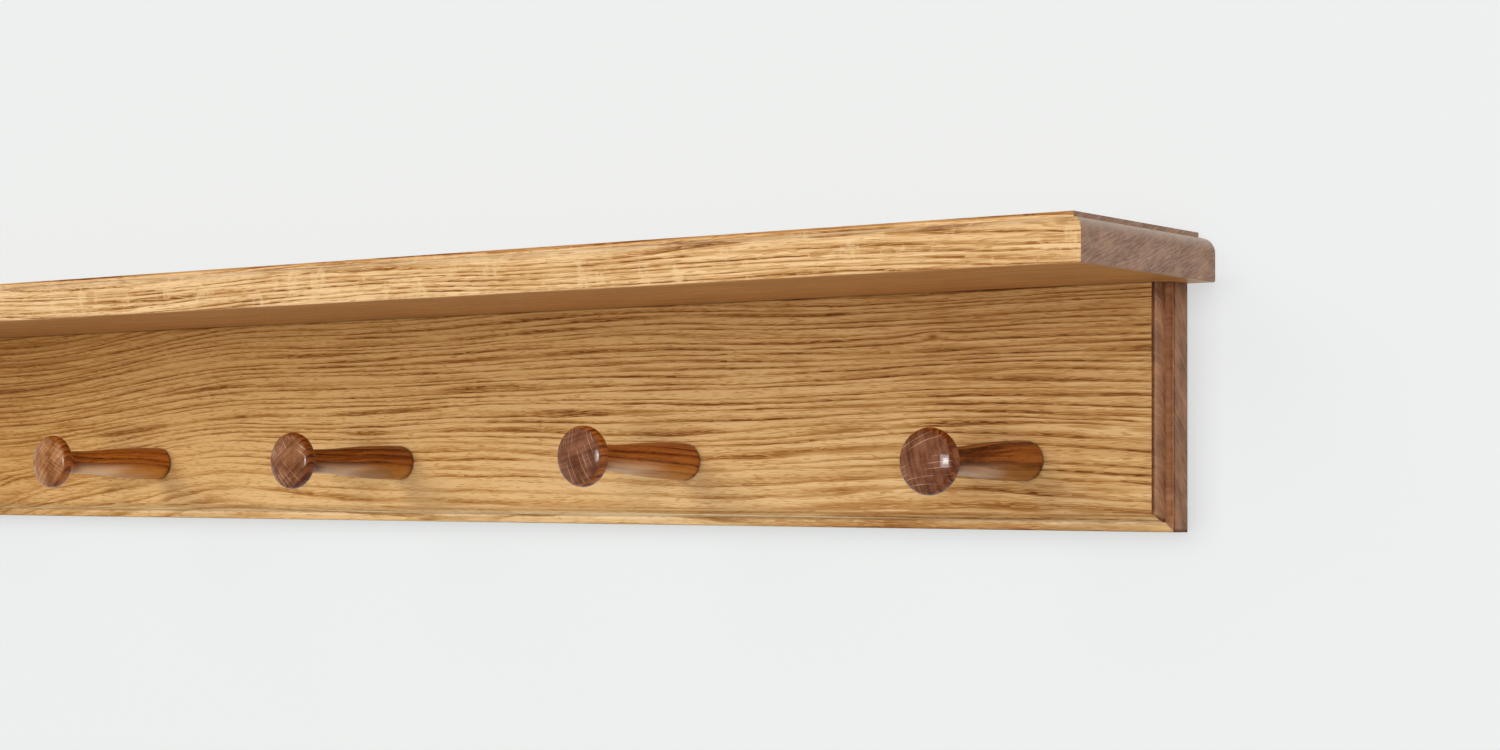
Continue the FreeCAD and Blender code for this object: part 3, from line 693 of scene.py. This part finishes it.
class PegRailStage(bpy.types.PropertyGroup):
    """The wall, the floor, the light and the camera"""

    background: colour_field("Background", "Wall, floor and far background", (238, 240, 239))
    window: share_field("Window", "Brightness of the window's light", 9.2, 100.0)
    gleam: share_field("Gleam", "Brightness of the window's soft reflection", 8.0, 100.0)
    glint: share_field("Glint", "Brightness of the window's small reflection", 17.0, 100.0)
    key: share_field("Key light", "Brightness of the large soft box at the upper left", 4.6, 100.0)
    fill: share_field("Fill light", "Brightness of the soft box at the right", 1.3, 100.0)
    below: share_field("Light from below", "Brightness of the room below", 0.42, 10.0)
    above: share_field("Light from above", "Brightness of the room above", 0.3, 10.0)
    lens: bpy.props.FloatProperty(
        name="Lens", description="Focal length on a sensor 36 mm wide", default=63.95976, min=1.0,
        unit="CAMERA",
    )


# How each piece is cut from its tree, in millimetres. seed moves the noise along the grain. pith is where the
# pith line lies across and up, lean is its slant and sway its wavering. ring is the width of a ring, and
# contrast and halo are the darkness of veins and bands. Rays are spaced by ray where they are at a distance
# from the pith, and have a width as a share of ray and a strength on sides and ends. Wood is seen end on
# between the two values of end_turn. end_lines gives slant, pitch and strength. lightest is the most that the
# wood keeps of its colour, and fleck the strength of pale flecks. Pairs of places with a share say where
# along the board painted shade darkens the wood (shade), where along it the wood gets fainter (fade) and
# where up it calmer (calm). dip sinks the pith between two places by a depth, swells raise the rings about a
# place (along, up, length, height, rise), knots have a place and a size, and drift is painted light: it turns
# the colour yellower with height and along the board. The rest are places in the CAD model: where the rail's
# moulding starts along it (end_from) and up it (mitre_from), the painted shadow line at its step and the
# painted light band below, the ledge, the joint with the shelf and the shelf's upper lip, which is darkened
# as painted shade.
BOARD_CUT = {"grain": "x", "ray": 3.0, "ray_width": 0.06, "end_turn": (0.02, 0.3)}
RAIL_CUT = {
    **BOARD_CUT, "seed": 3.0, "pith": (52.0, -66.0), "lean": (0.0, 0.0), "sway": 9.0, "lightest": 0.9,
    "contrast": 0.76, "halo": 0.33, "distance": 90.0, "side_rays": 0.1, "end_rays": 0.4,
    "end_from": 396.5, "mitre_from": -40.65, "ledge_at": -11.4, "joint_at": 47.75,
    "step_shadow": ((-42.45, -41.95), (-40.95, -41.45)), "painted_light_band": ((-42.55, -43.25), (-45.85, -44.85)),
    "shade": ((150.0, 330.0, 0.19), (-120.0, -300.0, 0.2)), "calm": (0.0, -20.0, 0.2),
    "fade": (100.0, -200.0, 0.2), "drift": (0.012, 0.0016, 0.09, 0.33), "dip": (-90.0, -330.0, 15.0),
    "knots": ((297.0, 29.6, 1.3),), "end_lines": (math.radians(28.0), 1.3, 0.16),
    "swells": (
        (-135.0, -16.0, 50.0, 16.0, 2.2),
        (-115.0, -40.0, 46.0, 12.0, 1.4),
        (-340.0, -44.0, 48.0, 16.0, -9.0),
        (297.0, 29.6, 9.0, 3.0, 1.2),
    ),
}
SHELF_CUT = {
    **BOARD_CUT, "seed": 41.0, "pith": (6.0, -49.0), "lean": (0.01, 0.008), "sway": 8.0, "lightest": 1.0,
    "contrast": 0.75, "halo": 0.22, "distance": 120.0, "side_rays": 0.2, "end_rays": 0.3, "fleck": 0.5,
    "shade": ((0.0, 300.0, 0.06),), "lip_at": 66.0, "end_lines": (math.radians(109.5), 1.3, 0.25),
}
PEG_CUT = {
    "grain": "y", "lean": (0.04, -0.03), "sway": 5.0, "lightest": 1.0, "ring": 2.4, "contrast": 0.8,
    "halo": 0.5, "side_rays": 0.1, "end_rays": 0.75, "end_contrast": 0.6, "end_turn": (0.25, 0.75),
}
# Each peg's own look. Its knob stands off to the right and up, in millimetres, and the rays cross the knob's
# face at a turn in degrees. belly, the strength of the painted reflection on the shaft's lower side, and
# streaks are shares.
PEG_GRAIN = (
    {
        "off": (0.0, 0.0), "turn": 35.0, "vein": (96, 54, 30),
        "cut": {
            "seed": 90.0, "distance": 46.0, "ray": 1.5, "ray_width": 0.09, "belly": 0.38, "streaks": 0.1,
        },
    },
    {
        "off": (-0.35, 0.0), "turn": -40.0, "vein": (100, 55, 29),
        "cut": {
            "seed": 127.0, "distance": 30.0, "ray": 1.5, "ray_width": 0.09, "belly": 0.78, "streaks": 0.1,
        },
    },
    {
        "off": (-2.1, 0.0), "turn": -50.0, "vein": (62, 29, 17),
        "cut": {
            "seed": 164.0, "distance": 34.0, "ray": 2.0, "ray_width": 0.08, "belly": 0.58, "streaks": 0.3,
        },
    },
    {
        "off": (-0.8, 1.35), "turn": -75.0, "vein": (48, 20, 13),
        "cut": {
            "seed": 201.0, "distance": 46.0, "ray": 1.8, "ray_width": 0.07, "belly": 0.57, "streaks": 0.1,
        },
    },
    {
        "off": (-1.4, -1.3), "turn": 20.0, "vein": (46, 20, 12),
        "cut": {
            "seed": 238.0, "distance": 46.0, "ray": 2.4, "ray_width": 0.06, "belly": 0.42, "streaks": 0.5,
        },
    },
)
# Distance from the rail's face over which a peg's knob comes to stand off, in millimetres
LEAN_RUN = 70.0
# What a user has no need to change in a peg, in millimetres, and where the taper's two arcs meet
PEG_FIXED = {"tenon": 6.35, "tenon_length": 15.4, "tenon_bevel": 1.0, "swell": 4.0, "taper_turn": 0.66}
PEG_SIZES = ("shaft", "shoulder", "neck", "neck_reach", "knob", "reach", "crown", "rim")
# Roughness of the wood, its shine and how wavy it is, and how the lacquer differs from its set strength on
# the ends
BOARD_GLOSS = {"wood": 0.45, "shine": 0.15, "coat_roughness": 0.2, "wave": 0.5}
PEG_GLOSS = {"wood": 0.5, "shine": 0.1, "coat_roughness": 0.09, "wave": 0.3, "end_coat": 0.0}
RAIL_END_COAT = -0.12
SHELF_END_COAT = 0.15
RAIL_RAY = (196, 158, 130)
# Pale rays on the shelf's end, and also its painted highlight where the end faces up
SHELF_RAY_AND_HIGHLIGHT = (206, 178, 156)
PLATE_ROUGHNESS = 0.25
SCREW_ROUGHNESS = 0.22


def in_millimetres(size):
    """A size that a user may change, taken from metres to millimetres."""
    return round(size / MM, 4)


class PEGRAIL_OT_boards(bpy.types.Operator):
    """Finish the rail board and the shelf board in lacquered oak"""

    bl_idname = "pegrail.boards"
    bl_label = "Boards"

    def execute(self, context):
        woods = context.scene.peg_rail_boards
        gloss = {**BOARD_GLOSS, "coat": woods.lacquer}
        rail = oak(
            "rail_oak",
            {**RAIL_CUT, "ring": in_millimetres(woods.rail_ring), "ledge_colour": woods.rail_ledge},
            woods.rail_wood,
            {"light": woods.rail_end, "vein": woods.rail_end_vein, "ray": linear(*RAIL_RAY)},
            {**gloss, "end_coat": RAIL_END_COAT},
        )
        shelf = oak(
            "shelf_oak",
            {**SHELF_CUT, "ring": in_millimetres(woods.shelf_ring), "under": woods.shelf_under},
            woods.shelf_wood,
            {"light": woods.shelf_end, "vein": woods.shelf_end_vein, "ray": linear(*SHELF_RAY_AND_HIGHLIGHT)},
            {**gloss, "end_coat": SHELF_END_COAT},
        )
        finish("rail_board", rail)
        finish("shelf_board", shelf)
        return {"FINISHED"}


class PEGRAIL_OT_pegs(bpy.types.Operator):
    """Turn the pegs and finish them in glossy oak"""

    bl_idname = "pegrail.pegs"
    bl_label = "Pegs"

    def execute(self, context):
        if len(PEGS) != len(PEG_GRAIN):
            raise RuntimeError(f"The frame has {len(PEGS)} pegs, and {len(PEG_GRAIN)} have their grain set")
        woods = context.scene.peg_rail_pegs
        sizes = {name: in_millimetres(getattr(woods, name)) for name in PEG_SIZES}
        profile = peg_profile({**PEG_FIXED, **sizes})
        gloss = {**PEG_GLOSS, "coat": woods.lacquer}
        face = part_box("rail_board")[0].y / MM
        for number, (node, grain) in enumerate(zip(PEGS, PEG_GRAIN), 1):
            spot = middle(node)
            lean = np.array(grain["off"]) / LEAN_RUN
            piece = turned(f"turned_{node}", profile, (spot.x, spot.z), face, lean)
            turn = math.radians(grain["turn"])
            distance = grain["cut"]["distance"]
            cut = {
                **PEG_CUT, **grain["cut"], "face": face, "centre": (spot.x, spot.z),
                "tilt": tuple(lean.tolist()), "belly_colour": woods.belly, "glow": woods.glow,
                "pith": (-distance * math.cos(turn), -distance * math.sin(turn)),
            }
            side = getattr(woods, f"wood_{number}")
            light = getattr(woods, f"end_{number}")
            end = {"light": light, "vein": linear(*grain["vein"]), "ray": woods.ray}
            piece.data.materials.append(oak(f"peg_oak_{number}", cut, side, end, gloss))
            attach(piece, BODY)
            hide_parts(node)
        return {"FINISHED"}


class PEGRAIL_OT_fixings(bpy.types.Operator):
    """Finish the hanger plates and the screws in zinc-plated steel"""

    bl_idname = "pegrail.fixings"
    bl_label = "Fixings"

    def execute(self, context):
        metals = context.scene.peg_rail_fixings
        plate = steel("hanger_steel", metals.plate, PLATE_ROUGHNESS)
        screw = steel("screw_steel", metals.screw, SCREW_ROUGHNESS)
        for node in ("hanger_plate_left", "hanger_plate_right"):
            finish(node, plate)
        for node in ("hanger_screws", "shelf_screws"):
            finish(node, screw)
        return {"FINISHED"}


# Share of the wall's brightness that is light falling on it, the dimming of the rest near the part and how
# far it reaches in metres, and the share of that dimming that is left where the room is open
SHADOW_SHARE = 0.12
NEAR_SHARE = 0.36
NEAR_REACH = 0.016
OPEN_SHARE = 0.12
# Share of the wall's brightness that is its own. With the light on it, it is as bright as the background.
OWN_SHARE = 0.862
# Heights in millimetres between which the dimming fades, below the rail and beside the shelf
RAIL_FADE = (-60.0, -44.0)
SHELF_FADE = (52.0, 46.0)
# The stage, in metres: half the wall's width, the floor's height and half width, and the gap behind the part
WALL_REACH = 6.0
FLOOR_HEIGHT = -1.5
FLOOR_REACH = 40.0
WALL_GAP = 0.0004
ROOM_TINT = (1.0, 0.98, 0.95, 1.0)
# The window stands at an angle to the right of straight ahead, with sizes and distances in metres. Its two
# reflections are lamps of their own, a little nearer: each has its name, how much nearer, size and use.
WINDOW_TURN = math.radians(21)
WINDOW_FAR = 3.0
WINDOW_HEIGHT = 0.05
WINDOW_TARGET = (0.0, 0.0, -0.02)
WINDOW_LAMPS = (
    ("window", 0.0, (0.88, 1.2), False),
    ("gleam", 0.1, (0.95, 1.1), True),
    ("glint", 0.2, (0.46, 0.5), True),
)
# The soft boxes: name, place and size in metres
SOFT_BOXES = (("key", (-2.6, -4.4, 3.0), (4.4, 3.6)), ("fill", (4.0, -1.5, 0.3), (3.0, 3.0)))
SENSOR = 36.0
# The photo's camera: turn to the left, tilt up and roll in radians, and place in metres
CAMERA_TURNS = (0.64894, 0.04605, 0.00684)
CAMERA_PLACE = (0.88725, -0.91593, -0.03572)


def one_sided(name, paint, in_gloss):
    """A pale screen that only a camera in front of it sees, and a gloss if in_gloss; the rest passes it.

    Most of its brightness is its own, so that it is even. It is dimmed close to the part, where the part
    hides the room from it, and a small share is light, so that shadows show.
    """
    s = Shader(bpy.data.materials.new(name))
    path = s.node("ShaderNodeLightPath").socket.node.outputs
    camera, glossy = Value(s, path["Is Camera Ray"]), Value(s, path["Is Glossy Ray"])
    behind = s.node("ShaderNodeNewGeometry", None, None, "Backfacing")
    seen = s.math("MAXIMUM", camera, glossy * in_gloss) * (1 - behind)
    nearby = s.node("ShaderNodeAmbientOcclusion", {"samples": 8}, {"Distance": NEAR_REACH}, "AO")
    height = s.split(s.node("ShaderNodeTexCoord", None, None, "Object"))[2] / MM
    beside = s.band(height, RAIL_FADE, SHELF_FADE) * (1 - OPEN_SHARE) + OPEN_SHARE
    own = s.scale(paint[:3], ((nearby - 1) * beside * NEAR_SHARE + 1) * OWN_SHARE)
    glow = s.node("ShaderNodeEmission", None, {0: own, 1: 1.0})
    matt = tuple(part * SHADOW_SHARE for part in paint[:3]) + (1.0,)
    lit = s.node("ShaderNodeBsdfDiffuse", None, {0: matt})
    surface = s.node("ShaderNodeAddShader", None, {0: glow, 1: lit})
    clear = s.node("ShaderNodeBsdfTransparent")
    shader = s.node("ShaderNodeMixShader", None, {0: seen, 1: clear, 2: surface})
    s.node("ShaderNodeOutputMaterial", None, {0: shader})
    return s.owner


def room(name, below, above, background):
    """A room whose light goes evenly from one level below to another above, behind a plain background."""
    s = Shader(bpy.data.worlds.new(name))
    camera = s.node("ShaderNodeLightPath", None, None, "Is Camera Ray")
    height = s.split(s.node("ShaderNodeTexCoord", None, None, "Generated"))[2]
    level = s.node("ShaderNodeMapRange", None, {0: height, 1: -1.0, 2: 1.0, 3: below, 4: above})
    light = s.node("ShaderNodeBackground", None, {0: ROOM_TINT, 1: level})
    pale = s.node("ShaderNodeBackground", None, {0: background, 1: 1.0})
    shader = s.node("ShaderNodeMixShader", None, {0: camera, 1: light, 2: pale})
    s.node("ShaderNodeOutputWorld", None, {0: shader})
    return s.owner


def sheet(name, corners, material):
    """A flat stage sheet from four corners in metres."""
    mesh = bpy.data.meshes.new(name)
    mesh.from_pydata(corners, [], [(0, 1, 2, 3)])
    mesh.materials.append(material)
    piece = bpy.data.objects.new(name, mesh)
    bpy.context.scene.collection.objects.link(piece)


def lamp(name, place, target, size, radiance, in_gloss):
    """A soft box of a width and height in metres that faces a target, seen in gloss only or lighting only.

    Its brightness is given as radiance.
    """
    data = bpy.data.lights.new(name, "AREA")
    data.shape = "RECTANGLE"
    data.size, data.size_y = size
    data.energy = radiance * math.pi * size[0] * size[1]
    piece = bpy.data.objects.new(name, data)
    piece.location = place
    piece.rotation_euler = (Vector(target) - Vector(place)).to_track_quat("-Z", "Y").to_euler()
    piece.visible_camera = False
    piece.visible_glossy = in_gloss
    piece.visible_diffuse = not in_gloss
    bpy.context.scene.collection.objects.link(piece)


def camera_axes(yaw, pitch, roll):
    """The directions to the right of the picture, up it and out of it."""
    ahead = np.array([-math.sin(yaw) * math.cos(pitch), math.cos(yaw) * math.cos(pitch), math.sin(pitch)])
    level = np.array([math.cos(yaw), math.sin(yaw), 0.0])
    upright = np.cross(level, ahead)
    right = math.cos(roll) * level + math.sin(roll) * upright
    up = math.cos(roll) * upright - math.sin(roll) * level
    return np.column_stack([right, up, -ahead])


class PEGRAIL_OT_stage(bpy.types.Operator):
    """Set up the wall, the floor, the soft light and the camera"""

    bl_idname = "pegrail.stage"
    bl_label = "Stage"

    def execute(self, context):
        scene = context.scene
        set_up = scene.peg_rail_stage
        scene.view_settings.view_transform = "Standard"
        wide, low, far = WALL_REACH, FLOOR_HEIGHT, FLOOR_REACH
        sheet(
            "wall",
            [(-wide, WALL_GAP, low), (wide, WALL_GAP, low), (wide, WALL_GAP, wide), (-wide, WALL_GAP, wide)],
            one_sided("wall_paint", set_up.background, 1.0),
        )
        sheet(
            "floor",
            [(-far, -far, low), (far, -far, low), (far, far, low), (-far, far, low)],
            one_sided("floor_paint", set_up.background, 0.0),
        )
        scene.world = room("studio", set_up.below, set_up.above, set_up.background)
        for name, nearer, size, in_gloss in WINDOW_LAMPS:
            far_off = WINDOW_FAR - nearer
            place = (far_off * math.sin(WINDOW_TURN), -far_off * math.cos(WINDOW_TURN), WINDOW_HEIGHT)
            lamp(name, place, WINDOW_TARGET, size, getattr(set_up, name), in_gloss)
        for name, place, size in SOFT_BOXES:
            lamp(name, place, (0.0, 0.0, 0.0), size, getattr(set_up, name), False)
        camera = bpy.data.cameras.new("camera")
        camera.sensor_width = SENSOR
        camera.lens = set_up.lens
        piece = bpy.data.objects.new("camera", camera)
        place = Matrix(camera_axes(*CAMERA_TURNS).tolist()).to_4x4()
        place.translation = CAMERA_PLACE
        piece.matrix_world = place
        scene.collection.objects.link(piece)
        scene.camera = piece
        return {"FINISHED"}


OPERATORS = (PEGRAIL_OT_stage, PEGRAIL_OT_boards, PEGRAIL_OT_pegs, PEGRAIL_OT_fixings)
SETTINGS = {
    "peg_rail_stage": PegRailStage,
    "peg_rail_boards": PegRailBoards,
    "peg_rail_pegs": PegRailPegs,
    "peg_rail_fixings": PegRailFixings,
}


class PEGRAIL_PT_panel(bpy.types.Panel):
    """Lists the steps that dress the peg rail, each with its sizes and colours"""

    bl_idname = "PEGRAIL_PT_panel"
    bl_label = "Peg rail"
    bl_space_type = "VIEW_3D"
    bl_region_type = "UI"
    bl_category = "Peg rail"

    def draw(self, context):
        for step, (settings, kind) in zip(OPERATORS, SETTINGS.items()):
            box = self.layout.box()
            box.operator(step.bl_idname)
            for name in kind.__annotations__:
                box.prop(getattr(context.scene, settings), name)


CLASSES = (*SETTINGS.values(), *OPERATORS, PEGRAIL_PT_panel)


def register():
    for item in CLASSES:
        bpy.utils.register_class(item)
    for name, kind in SETTINGS.items():
        setattr(bpy.types.Scene, name, bpy.props.PointerProperty(type=kind))


def unregister():
    for name in SETTINGS:
        delattr(bpy.types.Scene, name)
    for item in reversed(CLASSES):
        bpy.utils.unregister_class(item)


def main():
    """Make everything."""
    register()
    for step in OPERATORS:
        group, name = step.bl_idname.split(".")
        getattr(getattr(bpy.ops, group), name)()


if __name__ == "__main__":
    main()
